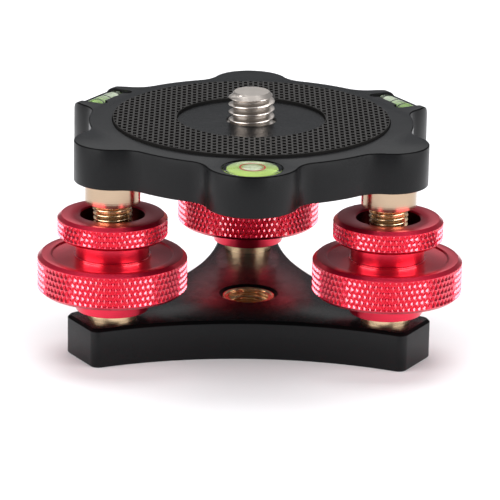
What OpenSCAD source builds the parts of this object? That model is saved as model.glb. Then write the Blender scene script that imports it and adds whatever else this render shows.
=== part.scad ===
// Three-wheel leveling base for a camera tripod, in millimetres.
// Z = 0 is the underside of the base plate, on the axis of its tripod thread. The front is -Y.

/* [Layout] */
// Travel of each leg up and down from its middle position
leg_travel = 2.5; // [1:0.1:2.6]
// Gap between a lock wheel and the collar above it, at mid travel
collar_gap = 2.5; // [2.5:0.1:4]

/* [Base plate] */
// Thickness of the base plate
base_t = 8.3; // [8:0.1:10]
// Distance from a leg's axis to the flat end of its arm
arm_past_leg = 7.6; // [6.6:0.1:10]
// Width of the flat end of each arm
arm_w = 12.8; // [12:0.1:15]
// Distance from the axis to the middle of each hollow side
base_waist = 18.3; // [15:0.1:19]
// Radius of the upright corners of the arms
arm_corner_r = 1.9; // [1:0.1:3]
// Chamfer round the top edge
base_chamfer = 0.6; // [0.2:0.1:0.8]

/* [Top plate] */
// Thickness of the top plate
plate_t = 8.6; // [8.4:0.1:11]
// Radius of the plate between its lobes. The legs, the arms, the ring and the levels move out with it
plate_r = 33.5; // [28:0.1:45]
// Radius of each lobe over a leg
lobe_r = 7.9; // [7.5:0.1:9]
// Radius of each lobe that carries a level
level_lobe_r = 9.3; // [8.8:0.1:10]
// Radius of the hollow curve that joins a lobe to the plate
lobe_blend_r = 6; // [4:0.1:7]

/* [Grip ring] */
// Width of the plate between the rubber ring and the round level
grip_margin = 1; // [0.6:0.1:4]
// Inner radius of the rubber ring
grip_bore_r = 15.35; // [12:0.1:18]
// Height that the rubber stands above the plate
grip_proud = 0.65; // [0.3:0.05:1]

/* [Camera screw] */
// Thread diameter: one quarter or three eighths of an inch
camera_thread_d = 9.525; // [6.35, 9.525]
// Height of the screw above the plate
camera_screw_h = 6.1; // [5:0.1:10]
// Thread diameter of the tripod socket in the base: three eighths of an inch
tripod_thread_d = 9.6; // [9.55:0.01:9.65]

/* [Adjusting wheels] */
// Outer radius of an adjusting wheel
wheel_r = 15.3; // [14:0.1:16]
// Height of the knurled band
wheel_band_h = 6.1; // [5.5:0.1:8]
// Width of the chamfers beside the knurled band
wheel_chamfer = 0.8; // [0.4:0.1:1.2]
// Radius of the hub under the wheel
hub_r = 7.5; // [7:0.1:9]

/* [Lock wheels] */
// Outer radius of a lock wheel
lock_r = 11.25; // [10:0.05:12]
// Height of its knurled band
lock_band_h = 3.3; // [3:0.1:5]
// Radius of its neck
neck_r = 7.5; // [7.4:0.1:9]
// Height of its neck
neck_h = 3.55; // [3:0.05:5]
// Radius of the well in its top
well_r = 6.6; // [6.5:0.1:7]

/* [Studs and sockets] */
// Thread diameter of the leg studs
stud_d = 8; // [7:0.1:8]
// Radius of the ball at the top of each stud
ball_r = 3.4; // [3.2:0.1:3.5]
// Wall of the brass socket collars round the end of the thread
collar_wall = 0.7; // [0.6:0.05:0.9]

/* [Levels] */
// Radius of the round level
bullseye_r = 6; // [5:0.1:6.2]
// Radius of the tube levels
vial_r = 2.6; // [2.2:0.05:2.7]

/* [Hidden] */
$fn = 96;

LEG_NAMES = ["left", "right", "rear"];
LEG_ANGLES = [210, 330, 90];
VIAL_NAMES = ["left", "right"];
VIAL_ANGLES = [150, 30];
BULLSEYE_ANGLE = 270;

// The leg axes stand a little inside the plate's edge
leg_inset = 1.1;
leg_circle_r = plate_r - leg_inset;
arm_reach = leg_circle_r + arm_past_leg;

// Clearances: running between a shaft and its bore, seating between faces that turn on each other
run_gap = 0.05;
seat_gap = 0.05;
// Overshoot of a cutting tool past the faces that it cuts
over = 1;

// Guide tube, pressed into the base plate
tube_r = 4.4;
tube_flange_rim = 0.6;
tube_flange_r = tube_r + tube_flange_rim;
tube_flange_h = 1.65;
tube_bottom = 2.6;
tube_floor = 2;
shank_r = 3;
key_w = 1.2;
key_depth = 0.75;
key_gap = 0.05;
stud_end_gap = 0.4;

// Thrust washer and retaining ring
thrust_t = 0.2;
ring_t = 0.5;
ring_rim = 1.1;
ring_r = tube_r + ring_rim;
ring_groove = 0.5;
ring_groove_r = tube_r - ring_groove;
tube_rim = 0.3;
tube_rim_step = 0.1;
tube_rim_r = tube_r - tube_rim_step;

// Countersunk screw under each tube
screw_r = 2;
screw_head_r = 3.8;
screw_sink = 0.2;
screw_cone_h = 1.8;
screw_hex_r = 1.44;
screw_hex_h = 1.2;

// Heights of an adjusting wheel
hub_z = base_t + tube_flange_h + thrust_t + seat_gap;
hub_h = 4.1;
hub_chamfer = 0.3;
wheel_z = hub_z + hub_h;
wheel_top = wheel_z + wheel_band_h + 2 * wheel_chamfer;
wheel_rim = 2.3;
dish_r = wheel_r - wheel_chamfer - wheel_rim;
dish_depth = 0.4;
wheel_web = 2.3;
nut_gap = 0.4;
nut_r = ring_r + nut_gap;
nut_h = 5.5;
nut_sink = 0.1;
nut_top = wheel_top - dish_depth - nut_sink;
tube_top = hub_z + wheel_web + seat_gap + ring_t + tube_rim;

// Heights of a lock wheel and its washer
washer_t = 0.3;
washer_rim = 0.4;
washer_r = neck_r + washer_rim;
washer_bore_gap = 0.3;
washer_z = wheel_top - dish_depth;
lock_z = washer_z + washer_t + seat_gap;
lock_chamfer = 0.8;
lock_band_z = lock_z + neck_h + lock_chamfer;
lock_top = lock_band_z + lock_band_h + lock_chamfer;
well_depth = 3.6;
well_chamfer = 0.3;
bush_r = 6;

// Heights of the socket collar and the ball
collar_drop = 4.5;
collar_roof = 2.2;
collar_seat = plate_t - collar_roof;
collar_z = lock_top + collar_gap;
plate_z = collar_z + collar_drop;
plate_top = plate_z + plate_t;
ball_rise = 1;
ball_z = plate_z + ball_rise;
ball_gap = 0.3;
cup_wall = 0.8;
cup_gap = 0.2;
cup_low = 2.2;
cup_high = 2.6;
cavity_r = ball_r + ball_gap + cup_wall + cup_gap;
collar_chamfer = 0.15;
skirt_gap = 0.95;
skirt_r = stud_d / 2 + skirt_gap;
collar_r = skirt_r + collar_wall;
skirt_h = 1.7;
lip_r = 3.6;
stud_neck_r = 2.3;
thread_rise = 1;
thread_top = collar_z + thread_rise;
thread_chamfer = 0.5;

// Rim under the top plate's screw and the screw itself
camera_flange_r = 8;
camera_flange_h = 2.4;
camera_flange_sink = 0.3;
camera_hex_r = 2.9;
camera_hex_h = 3;
camera_tip = 1.1;
camera_shank_step = 0.35;
camera_shank_r = camera_thread_d / 2 + camera_shank_step;
camera_shank_sink = 0.6;
camera_relief = 0.7;

// Tripod insert
insert_r = 5.45;
insert_sink = 0.4;
insert_chamfer = 0.3;
socket_mouth = 0.7;

// Lobes
bullseye_lobe_out = 0.4;
bullseye_lobe_c = leg_circle_r + bullseye_lobe_out;
bullseye_front_wall = 0.4;
bullseye_pocket_gap = 0.1;
bullseye_c = bullseye_lobe_c + level_lobe_r - bullseye_front_wall - bullseye_pocket_gap - bullseye_r;
bullseye_depth = 5.3;
bullseye_wall = 0.9;
bullseye_lid = 1;
bullseye_dome_h = 0.45;
backing_t = 0.6;
vial_in = 5.55;
vial_c = leg_circle_r + level_lobe_r - vial_in;
vial_margin = 3.3;
vial_l = 2 * (level_lobe_r - vial_margin);
vial_cover = 0.4;
vial_sink = vial_r + vial_cover;
nose_r = 2.2;
nose_c = vial_c + vial_sink - nose_r;
vial_wall = 0.6;
vial_end = 1;
vial_side_gap = 0.25;
vial_end_gap = 0.1;
vial_relief_r = 1.3;

// Grip ring and its groove
grip_t = 1.7;
grip_side_gap = 0.15;
grip_r = bullseye_c - bullseye_r - grip_margin;

// Hollow sides of the base plate: a circle through two arm corners and the waist between them
side_along = arm_reach * cos(60) + arm_w / 2 * sin(60);
side_across = arm_reach * sin(60) - arm_w / 2 * cos(60);
side_r = (pow(side_along - base_waist, 2) + pow(side_across, 2)) / (2 * (side_along - base_waist));
side_c = base_waist + side_r;

function polar(r, a) = [r * cos(a), r * sin(a)];

// Places its children at a leg, with local +X pointing outwards
module at_leg(a) {
    rotate(a) translate([leg_circle_r, 0, 0]) children();
}

module at_each_leg() {
    for (a = LEG_ANGLES) at_leg(a) children();
}

// Cylinder with a chamfer at both ends
module chamfered(r, h, c) {
    rotate_extrude() polygon([[0, 0], [r - c, 0], [r, c], [r, h - c], [r - c, h], [0, h]]);
}

// Cutter that leaves a round hole or hollow side with chamfered rims
module flared(r, h, top_c, low_c) {
    rotate_extrude() polygon([
        [0, -over], [r + low_c + over, -over], [r, low_c],
        [r, h - top_c], [r + top_c + over, h + over], [0, h + over]
    ]);
}

module tube_of(outer, inner, h) {
    difference() {
        cylinder(r = outer, h = h);
        translate([0, 0, -over]) cylinder(r = inner, h = h + 2 * over);
    }
}

// Three-armed plate without its holes
module base_blank() {
    difference() {
        linear_extrude(base_t) polygon([
            for (a = LEG_ANGLES) for (s = [-1, 1])
                [arm_reach * cos(a) - s * arm_w / 2 * sin(a), arm_reach * sin(a) + s * arm_w / 2 * cos(a)]
        ]);
        for (a = LEG_ANGLES) {
            rotate(a + 60) translate([side_c, 0, 0]) flared(side_r, base_t, base_chamfer, base_chamfer / 2);
            rotate(a) arm_end_chamfers();
            rotate(a) arm_corner_cutter();
            rotate(a) mirror([0, 1, 0]) arm_corner_cutter();
        }
    }
}

module base_plate() {
    color("#1b1b1d") difference() {
        base_blank();
        at_each_leg() tube_seat();
        translate([0, 0, -over]) cylinder(r = insert_r, h = base_t + 2 * over);
        translate([0, 0, base_t - socket_mouth]) cylinder(r1 = insert_r, r2 = insert_r + socket_mouth + over, h = socket_mouth + over);
    }
}

// Flat end of an arm: the wedges that chamfer its top and bottom edges
module arm_end_chamfers() {
    c = base_chamfer;
    rotate([90, 0, 0]) linear_extrude(arm_w + 2 * over, center = true) {
        polygon([[arm_reach - c - over, base_t + over], [arm_reach + over, base_t - c - over], [arm_reach + over, base_t + over]]);
        polygon([[arm_reach - c / 2 - over, -over], [arm_reach + over, c / 2 + over], [arm_reach + over, -over]]);
    }
}

// What is cut off a corner of an arm to round it, from the end face to the hollow side
module arm_corner_cutter() {
    steps = 8;
    centre_x = arm_reach - arm_corner_r;
    side = polar(side_c, 60);
    centre = [centre_x, side[1] - sqrt(pow(side_r + arm_corner_r, 2) - pow(centre_x - side[0], 2))];
    turn = atan2(side[1] - centre[1], side[0] - centre[0]);
    bend = [for (i = [0:steps]) centre + polar(arm_corner_r, turn * i / steps)];
    translate([0, 0, -over]) linear_extrude(base_t + 2 * over) polygon(concat(
        [3 * bend[0] - 2 * bend[1]],
        [for (i = [1:steps - 1]) bend[i]],
        [3 * bend[steps] - 2 * bend[steps - 1], centre + polar(arm_w, turn / 2)]
    ));
}

// Stepped bore for a guide tube and its screw
module tube_seat() {
    translate([0, 0, tube_bottom]) cylinder(r = tube_r, h = base_t);
    translate([0, 0, -over]) cylinder(r = screw_r + run_gap, h = tube_bottom + 2 * over);
    translate([0, 0, screw_sink]) cylinder(r1 = screw_head_r, r2 = screw_r, h = screw_cone_h);
    translate([0, 0, -over]) cylinder(r = screw_head_r, h = screw_sink + over);
}

module tripod_insert() {
    h = base_t - insert_sink;
    color("#b8935a") difference() {
        cylinder(r = insert_r, h = h);
        flared(tripod_thread_d / 2, h, insert_chamfer, 0);
    }
}

module tube_screws() {
    tip_z = tube_bottom + tube_floor - screw_sink;
    color("#8d8f92") at_each_leg() difference() {
        rotate_extrude() polygon([
            [0, screw_sink], [screw_head_r, screw_sink], [screw_r, screw_sink + screw_cone_h], [screw_r, tip_z], [0, tip_z]
        ]);
        translate([0, 0, -over]) cylinder(r = screw_hex_r, h = screw_sink + screw_hex_h + over, $fn = 6);
    }
}

module thrust_washers() {
    color("#d8d4c8") at_each_leg() translate([0, 0, base_t + tube_flange_h]) tube_of(tube_flange_r, tube_r, thrust_t);
}

module retaining_rings() {
    color("#8d8f92") at_each_leg() translate([0, 0, tube_top - tube_rim - ring_t]) tube_of(ring_r, ring_groove_r, ring_t);
}

module guide_tube() {
    rim_z = tube_top - tube_rim;
    color("#b8935a") difference() {
        rotate_extrude() polygon([
            [0, tube_bottom], [tube_r, tube_bottom], [tube_r, base_t], [tube_flange_r, base_t],
            [tube_flange_r, base_t + tube_flange_h], [tube_r, base_t + tube_flange_h],
            [tube_r, rim_z - ring_t], [ring_groove_r, rim_z - ring_t],
            [ring_groove_r, rim_z], [tube_rim_r, rim_z], [tube_rim_r, tube_top], [0, tube_top]
        ]);
        translate([0, 0, tube_bottom - over]) cylinder(r = screw_r, h = tube_floor + 2 * over);
        difference() {
            translate([0, 0, tube_bottom + tube_floor]) cylinder(r = shank_r + run_gap, h = tube_top);
            translate([shank_r - key_depth + 2 * key_gap, -key_w / 2, 0]) cube([tube_r, key_w, tube_top + over]);
        }
    }
}

module adjusting_wheel() {
    color("#c8102e") difference() {
        rotate_extrude() polygon([
            [0, hub_z], [hub_r - hub_chamfer, hub_z], [hub_r, hub_z + hub_chamfer], [hub_r, wheel_z],
            [wheel_r - wheel_chamfer, wheel_z], [wheel_r, wheel_z + wheel_chamfer],
            [wheel_r, wheel_top - wheel_chamfer], [wheel_r - wheel_chamfer, wheel_top],
            [dish_r + dish_depth, wheel_top], [dish_r, wheel_top - dish_depth], [0, wheel_top - dish_depth]
        ]);
        translate([0, 0, hub_z - over]) cylinder(r = tube_r + run_gap, h = wheel_web + 2 * over);
        translate([0, 0, hub_z + wheel_web]) cylinder(r = nut_r, h = wheel_top);
    }
}

module drive_nut() {
    color("#b8935a") translate([0, 0, nut_top - nut_h]) tube_of(nut_r, stud_d / 2 + run_gap, nut_h);
}

module lock_washer() {
    color("#c9c9c4") translate([0, 0, washer_z]) tube_of(washer_r, stud_d / 2 + washer_bore_gap, washer_t);
}

module lock_wheel() {
    color("#c8102e") difference() {
        rotate_extrude() polygon([
            [0, lock_z], [neck_r, lock_z], [neck_r, lock_z + neck_h], [lock_r - lock_chamfer, lock_z + neck_h],
            [lock_r, lock_band_z], [lock_r, lock_band_z + lock_band_h], [lock_r - lock_chamfer, lock_top], [0, lock_top]
        ]);
        translate([0, 0, lock_z - over]) cylinder(r = bush_r, h = lock_top);
        translate([0, 0, lock_top - well_depth]) cylinder(r = well_r, h = well_depth + over);
        translate([0, 0, lock_top - well_chamfer]) cylinder(r1 = well_r, r2 = well_r + well_chamfer + over, h = well_chamfer + over);
    }
}

module lock_bush() {
    color("#b8935a") translate([0, 0, lock_z]) tube_of(bush_r, stud_d / 2 + run_gap, lock_top - well_depth - lock_z);
}

// Threaded stud: keyed shank below, thread, neck and ball
module stud() {
    shank_z = tube_bottom + tube_floor + leg_travel + stud_end_gap;
    thread_z = tube_top + leg_travel + stud_end_gap / 2;
    r = stud_d / 2;
    color("#c9a66b") {
        difference() {
            translate([0, 0, shank_z]) cylinder(r = shank_r, h = thread_z - shank_z);
            translate([shank_r - key_depth, -key_w / 2 - key_gap, shank_z - over]) cube([shank_r, key_w + 2 * key_gap, thread_z - shank_z + over]);
        }
        translate([0, 0, thread_z]) chamfered(r, thread_top - thread_z, thread_chamfer);
        translate([0, 0, thread_top]) cylinder(r = stud_neck_r, h = ball_z - thread_top);
        translate([0, 0, ball_z]) sphere(r = ball_r);
    }
}

// Thin liner round the ball, open above and below
module ball_cup() {
    inner = ball_r + ball_gap;
    outer = inner + cup_wall;
    color("#e9e6dc") translate([0, 0, ball_z]) difference() {
        sphere(r = outer);
        sphere(r = inner);
        translate([0, 0, cup_high]) cylinder(r = 2 * outer, h = outer);
        translate([0, 0, -cup_low - outer]) cylinder(r = 2 * outer, h = outer);
    }
}

// Collar pressed into the top plate, holding the ball and its liner
module socket_collar() {
    top = plate_z + collar_seat;
    color("#c9a66b") difference() {
        translate([0, 0, collar_z]) chamfered(collar_r, top - collar_z, collar_chamfer);
        translate([0, 0, ball_z]) sphere(r = cavity_r);
        translate([0, 0, ball_z]) cylinder(r = cavity_r, h = top);
        translate([0, 0, collar_z - over]) cylinder(r = skirt_r, h = skirt_h + over);
        translate([0, 0, collar_z]) cylinder(r = lip_r, h = ball_z - collar_z);
    }
}

// Points on an arc, without its last one
function arc(c, r, from, to, n) = [for (i = [0:n - 1]) c + polar(r, from + (to - from) * i / n)];

// Outline past the lobe at angle a, whose centre is at distance c: plate, hollow blend, lobe, hollow blend, plate
function lobe_outline(a, c, r) =
    let (
        reach = plate_r + lobe_blend_r,
        plate_turn = acos((pow(reach, 2) + pow(c, 2) - pow(r + lobe_blend_r, 2)) / (2 * reach * c)),
        blend = polar(reach, plate_turn),
        lobe_turn = atan2(blend[1], blend[0] - c)
    )
    concat(
        arc([0, 0], plate_r, a - 30, a - plate_turn, 4),
        arc(polar(reach, a - plate_turn), lobe_blend_r, a + 180 - plate_turn, a + 180 - lobe_turn, 8),
        arc(polar(c, a), r, a - lobe_turn, a + lobe_turn, 40),
        arc(polar(reach, a + plate_turn), lobe_blend_r, a - 180 + lobe_turn, a - 180 + plate_turn, 8),
        arc([0, 0], plate_r, a + plate_turn, a + 30, 4)
    );

// Six-lobed plate without its holes: a lobe with a level and the next one over a leg, three times round
module plate_blank() {
    linear_extrude(plate_t) polygon([
        for (a = [VIAL_ANGLES[1], VIAL_ANGLES[0], BULLSEYE_ANGLE]) each concat(
            lobe_outline(a, a == BULLSEYE_ANGLE ? bullseye_lobe_c : leg_circle_r, level_lobe_r),
            lobe_outline(a + 60, leg_circle_r, lobe_r)
        )
    ]);
}

// A cylinder lying across a lobe, its axis at distance c and at a depth under the top face
module lying(c, depth, r, l) {
    translate([c, 0, plate_t - depth]) rotate([90, 0, 0]) cylinder(r = r, h = l, center = true);
}

// What is cut off a lobe to leave a flat end with a round top edge
module nose_cutter() {
    wide = 2 * level_lobe_r + 4 * over;
    difference() {
        translate([nose_c, -wide / 2, -over]) cube([level_lobe_r + over, wide, plate_t + 2 * over]);
        lying(nose_c, nose_r, nose_r, wide);
        translate([nose_c - over, -wide / 2, -2 * over]) cube([nose_r + over, wide, plate_t + 2 * over - nose_r]);
    }
}

// Pocket for a tube level, open at the top, with relieved inner corners
module vial_pocket() {
    half = vial_l / 2 + vial_end_gap;
    inner = vial_c - vial_r - vial_side_gap;
    floor_z = plate_t - vial_sink - vial_r;
    lying(vial_c, vial_sink, vial_r + vial_end_gap, 2 * half);
    translate([0, 0, floor_z]) linear_extrude(plate_t) {
        translate([inner, -half]) square([vial_c - inner, 2 * half]);
        translate([vial_c - over, vial_r - half]) square([vial_r + over, 2 * (half - vial_r)]);
        for (s = [-1, 1]) {
            translate([vial_c, s * (half - vial_r)]) circle(r = vial_r);
            translate([inner, s * (half - vial_relief_r)]) circle(r = vial_relief_r);
        }
    }
}

module top_plate() {
    color("#202022") translate([0, 0, plate_z]) difference() {
        plate_blank();
        for (a = VIAL_ANGLES) rotate(a) {
            nose_cutter();
            vial_pocket();
        }
        rotate(BULLSEYE_ANGLE) translate([bullseye_c, 0, plate_t - bullseye_depth])
            cylinder(r = bullseye_r + bullseye_pocket_gap, h = plate_t);
        at_each_leg() translate([0, 0, -over]) cylinder(r = collar_r, h = collar_seat + over);
        translate([0, 0, plate_t + grip_proud - grip_t]) tube_of(grip_r + grip_side_gap, grip_bore_r - grip_side_gap, plate_t);
        translate([0, 0, -over]) cylinder(r = camera_flange_r + run_gap, h = camera_flange_h + camera_flange_sink + over);
        translate([0, 0, -over]) cylinder(r = camera_shank_r, h = plate_t + 2 * over);
    }
}

module grip_ring() {
    color("#2b2b2c") translate([0, 0, plate_top + grip_proud - grip_t]) tube_of(grip_r, grip_bore_r, grip_t);
}

module camera_screw() {
    r = camera_thread_d / 2;
    low = plate_z + camera_flange_sink;
    tip_z = plate_top + camera_screw_h;
    color("#b9b6b0") difference() {
        rotate_extrude() polygon([
            [0, low], [camera_flange_r, low], [camera_flange_r, low + camera_flange_h],
            [camera_shank_r, low + camera_flange_h], [camera_shank_r, plate_top - camera_shank_sink],
            [r - camera_relief, plate_top - camera_shank_sink], [r - camera_relief, plate_top],
            [r, plate_top], [r, tip_z - camera_tip], [r - camera_tip, tip_z], [0, tip_z]
        ]);
        translate([0, 0, low - over]) cylinder(r = camera_hex_r, h = camera_hex_h + over, $fn = 6);
    }
}

// Places its children in the pocket of the round level, from the pocket's floor up
module at_bullseye() {
    rotate(BULLSEYE_ANGLE) translate([bullseye_c, 0, plate_top - bullseye_depth]) children();
}

// Clear body with a low dome, hollow for the liquid
module bullseye_body() {
    h = bullseye_depth - backing_t;
    dome_r = (pow(bullseye_r, 2) + pow(bullseye_dome_h, 2)) / (2 * bullseye_dome_h);
    color("#cfe8d8", 0.4) at_bullseye() translate([0, 0, backing_t]) difference() {
        intersection() {
            cylinder(r = bullseye_r, h = h + bullseye_dome_h);
            translate([0, 0, h + bullseye_dome_h - dome_r]) sphere(r = dome_r, $fn = 200);
        }
        translate([0, 0, -over]) cylinder(r = bullseye_r - bullseye_wall, h = h - bullseye_lid + over);
    }
}

module bullseye_liquid() {
    color("#b7d84b", 0.7) at_bullseye() translate([0, 0, backing_t])
        cylinder(r = bullseye_r - bullseye_wall, h = bullseye_depth - backing_t - bullseye_lid);
}

module bullseye_backing() {
    color("#e8ecd8") at_bullseye() cylinder(r = bullseye_r, h = backing_t);
}

// Places its children at the middle of a tube level, with local Z along it
module at_vial(a) {
    rotate(a) translate([vial_c, 0, plate_top - vial_sink]) rotate([90, 0, 0]) children();
}

module vial() {
    color("#cfe8b8", 0.4) difference() {
        cylinder(r = vial_r, h = vial_l, center = true);
        cylinder(r = vial_r - vial_wall, h = vial_l - 2 * vial_end, center = true);
    }
}

module vial_liquid() {
    color("#9ccf3f", 0.7) cylinder(r = vial_r - vial_wall, h = vial_l - 2 * vial_end, center = true);
}

base_plate();
tripod_insert();
tube_screws();
thrust_washers();
retaining_rings();
for (i = [0:2]) at_leg(LEG_ANGLES[i]) {
    guide_tube();
    adjusting_wheel();
    drive_nut();
    lock_washer();
    lock_wheel();
    lock_bush();
    stud();
    ball_cup();
    socket_collar();
}
top_plate();
grip_ring();
camera_screw();
bullseye_body();
bullseye_liquid();
bullseye_backing();
for (i = [0:1]) at_vial(VIAL_ANGLES[i]) {
    vial();
    vial_liquid();
}
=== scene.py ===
import math

import bmesh
import bpy
from mathutils import Matrix, Vector


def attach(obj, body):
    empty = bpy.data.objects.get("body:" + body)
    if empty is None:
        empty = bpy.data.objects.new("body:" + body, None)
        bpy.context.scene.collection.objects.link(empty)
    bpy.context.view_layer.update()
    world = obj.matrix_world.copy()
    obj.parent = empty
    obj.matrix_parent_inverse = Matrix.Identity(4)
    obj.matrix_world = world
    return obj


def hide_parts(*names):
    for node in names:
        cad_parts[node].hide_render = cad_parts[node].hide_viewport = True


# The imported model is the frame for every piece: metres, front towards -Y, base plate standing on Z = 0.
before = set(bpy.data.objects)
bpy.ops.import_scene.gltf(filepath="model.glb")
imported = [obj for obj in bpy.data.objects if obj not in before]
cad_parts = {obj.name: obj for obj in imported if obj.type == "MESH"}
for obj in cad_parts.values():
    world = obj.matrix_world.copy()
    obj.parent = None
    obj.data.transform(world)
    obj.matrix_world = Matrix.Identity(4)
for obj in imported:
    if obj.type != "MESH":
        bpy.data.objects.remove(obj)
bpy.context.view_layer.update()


# Camera: a long lens a little above the object, with a small roll.
# Angles, distance and focal length were solved from the circles and edges of the photograph.
AZIMUTH = math.radians(-0.6075)
ELEVATION = math.radians(17.546)
ROLL = math.radians(0.953)
DISTANCE = 0.751013
FOCAL_PIXELS = 3598.05
FRAME_PIXELS = 500
SENSOR_MM = 36
AIM = Vector((0.00017, 0, 0.017795))


def put(name, data):
    """Makes an object and links it to the scene."""
    made = bpy.data.objects.new(name, data)
    bpy.context.scene.collection.objects.link(made)
    return made


back = Vector((
    math.sin(AZIMUTH) * math.cos(ELEVATION), -math.cos(AZIMUTH) * math.cos(ELEVATION), math.sin(ELEVATION)))
level_right = (-back).cross(Vector((0, 0, 1))).normalized()
level_up = level_right.cross(-back)
right = math.cos(ROLL) * level_right + math.sin(ROLL) * level_up
up = math.cos(ROLL) * level_up - math.sin(ROLL) * level_right
camera_data = bpy.data.cameras.new("camera")
camera_data.sensor_fit = "HORIZONTAL"
camera_data.sensor_width = SENSOR_MM
camera_data.lens = FOCAL_PIXELS * SENSOR_MM / FRAME_PIXELS
camera_data.clip_start = 0.05
camera_data.clip_end = 20
camera = put("camera", camera_data)
camera_axes = Matrix((right, up, back)).transposed().to_4x4()
camera.matrix_world = Matrix.Translation(AIM + back * DISTANCE) @ camera_axes
bpy.context.scene.camera = camera
bpy.context.scene.view_settings.view_transform = "Standard"


# Studio: a pale floor, a soft box at each side in front, a wide one overhead and one behind.
# The side ones light the knurling's facets in turn, and the one behind greys the upper plate's top.
FLOOR_COLOUR = (0.82, 0.82, 0.83, 1)
FLOOR_HALF = 3
WORLD_COLOUR = (0.9, 0.94, 1, 1)
WORLD_STRENGTH = 0.17
SIDE_X = 0.75
OBJECT_MIDDLE = (0, 0, 0.03)

floor_mesh = bpy.data.meshes.new("floor")
floor_corners = [(x * FLOOR_HALF, y * FLOOR_HALF, 0) for x, y in ((-1, -1), (1, -1), (1, 1), (-1, 1))]
floor_mesh.from_pydata(floor_corners, [], [(0, 1, 2, 3)])
floor = put("floor", floor_mesh)
floor_paint = bpy.data.materials.new("studio_floor")
floor_paint.use_nodes = True
floor_shader = floor_paint.node_tree.nodes["Principled BSDF"]
for label, value in (("Base Color", FLOOR_COLOUR), ("Roughness", 0.9), ("Specular IOR Level", 0.1)):
    floor_shader.inputs[label].default_value = value
floor_mesh.materials.append(floor_paint)

world = bpy.data.worlds.new("studio")
world.use_nodes = True
background = world.node_tree.nodes["Background"]
background.inputs["Color"].default_value = WORLD_COLOUR
background.inputs["Strength"].default_value = WORLD_STRENGTH
bpy.context.scene.world = world


def soft_box(name, place, aim, width, height, watts):
    data = bpy.data.lights.new(name, "AREA")
    data.shape = "RECTANGLE"
    data.size = width
    data.size_y = height
    data.energy = watts
    lamp = put(name, data)
    lamp.location = place
    lamp.rotation_euler = (Vector(aim) - Vector(place)).to_track_quat("-Z", "Y").to_euler()


for side, x in (("left", -SIDE_X), ("right", SIDE_X)):
    soft_box(side + "_box", (x, -0.4, 0.37), OBJECT_MIDDLE, width=0.98, height=0.5, watts=8.8)
soft_box("back_box", (0, 1.0, 0.7), OBJECT_MIDDLE, width=1.6, height=0.5, watts=1.9)
soft_box("top_box", (0, 0.3, 0.95), (0, 0, 0), width=0.9, height=0.7, watts=10.5)


# Base plate: a thick three-armed aluminium plate, milled with hollow sides and flat arm ends,
# chamfered round its top, drilled for the tripod insert and the three guide tubes, and anodised black.
# From here on all sizes are in millimetres, and an edge profile is a row of (height, inset from the outline).
MM = 0.001
ROUND = 96
ON_AXIS = 1e-6
LEG_CIRCLE = 32.4
LEGS = {"left": 210, "right": 330, "rear": 90}
BASE_T = 8.3
ARM_REACH = 40
ARM_W = 12.8
BASE_WAIST = 18.3
ARM_CORNER_R = 1.9
BASE_EDGE = (
    (0, 0.34), (0.04, 0.24), (0.27, 0.03), (0.36, 0),
    (7.64, 0), (7.74, 0.03), (8.26, 0.55), (8.3, 0.64))
TUBE_R = 4.4
TUBE_BOTTOM = 2.6
SCREW_HEAD_R = 3.8
SCREW_HEAD_SINK = 0.2
SCREW_R = 2.05
SCREW_CONE_TOP = 2.0
INSERT_R = 5.45
SOCKET_MOUTH = 0.7
BLACK = (0.004, 0.0041, 0.0046, 1)
GRAIN_BUMP = 0.00002


def polar(radius, degrees):
    t = math.radians(degrees)
    return Vector((radius * math.cos(t), radius * math.sin(t)))


def leg_place(leg):
    return polar(LEG_CIRCLE, LEGS[leg])


def arc(centre, radius, start, stop, steps):
    """Points on an arc, without its last one."""
    return [Vector(centre) + polar(radius, start + (stop - start) * i / steps) for i in range(steps)]


def base_outline(inset):
    """Three times a corner, a flat arm end, a corner and a hollow side."""
    to_side = math.radians(60)
    along = ARM_REACH * math.cos(to_side) + ARM_W / 2 * math.sin(to_side)
    across = ARM_REACH * math.sin(to_side) - ARM_W / 2 * math.cos(to_side)
    side_r = ((along - BASE_WAIST) ** 2 + across ** 2) / (2 * (along - BASE_WAIST))
    side_c = BASE_WAIST + side_r
    side = polar(side_c, 60)
    corner_x = ARM_REACH - ARM_CORNER_R
    corner_y = side.y - math.sqrt((side_r + ARM_CORNER_R) ** 2 - (corner_x - side.x) ** 2)
    turn = math.degrees(math.atan2(side.y - corner_y, side.x - corner_x))
    reach = math.hypot(corner_x, corner_y)
    lean = math.degrees(math.atan2(corner_y, corner_x))
    corner_r = ARM_CORNER_R - inset
    points = []
    for a in (90, 210, 330):
        points += arc(polar(reach, a - lean), corner_r, a - turn, a, 10)
        points.append(polar(reach, a - lean) + polar(corner_r, a))
        points += arc(polar(reach, a + lean), corner_r, a, a + turn, 10)
        points += arc(polar(side_c, a + 60), side_r + inset, a + 180 + turn, a + 300 - turn, 48)
    return points


def circle(bm, radius, z, steps=ROUND, x=0, y=0):
    """A ring of new corners, or one corner for all of them where it lies on the axis."""
    if radius < ON_AXIS:
        return [bm.verts.new((x, y, z))] * steps
    turns = [math.tau * i / steps for i in range(steps)]
    return [bm.verts.new((x + radius * math.cos(t), y + radius * math.sin(t), z)) for t in turns]


def bridge(bm, low, high):
    """Faces between two rings: quads, or triangles where a ring has shrunk to one corner."""
    for i in range(len(low)):
        k = (i + 1) % len(low)
        corners = list(dict.fromkeys((low[i], low[k], high[k], high[i])))
        if len(corners) > 2:
            bm.faces.new(corners)


def bridge_all(bm, rings):
    for low, high in zip(rings, rings[1:]):
        bridge(bm, low, high)


def closed_mesh(name, bm):
    bmesh.ops.recalc_face_normals(bm, faces=bm.faces)
    mesh = bpy.data.meshes.new(name)
    bm.to_mesh(mesh)
    bm.free()
    return mesh


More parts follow.
